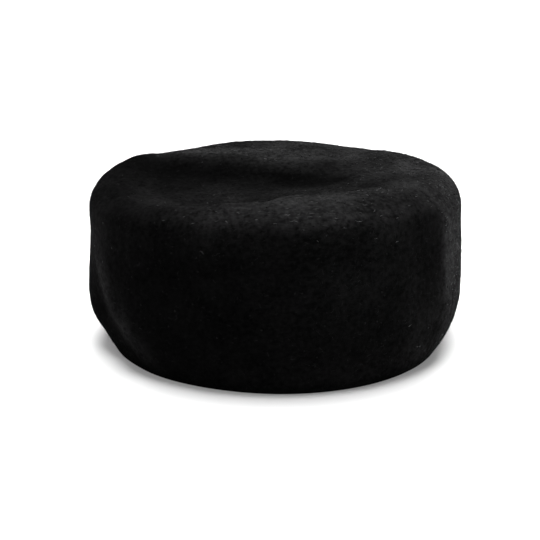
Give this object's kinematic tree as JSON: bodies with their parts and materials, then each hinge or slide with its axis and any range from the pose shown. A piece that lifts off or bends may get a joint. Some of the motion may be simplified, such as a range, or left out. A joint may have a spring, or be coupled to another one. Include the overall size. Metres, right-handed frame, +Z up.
{
  "type": "chechia cap",
  "caption": "Low soft chechia of black felt: a round, hollow, brimless cap with a dented crown, standing on its rim.",
  "frame": {"origin": "centre of the rim's oval, on the surface the cap stands on", "axes": "+Z up through the crown, +Y towards the rear, +X to the right of the side seen in the picture, which faces -Y"},
  "size_m": [0.2053, 0.2, 0.0965],
  "materials": {
    "felt": "matt black wool felt with a short nap"
  },
  "bodies": {
    "root": {"felt_cap": "felt"}
  },
  "joints": []
}
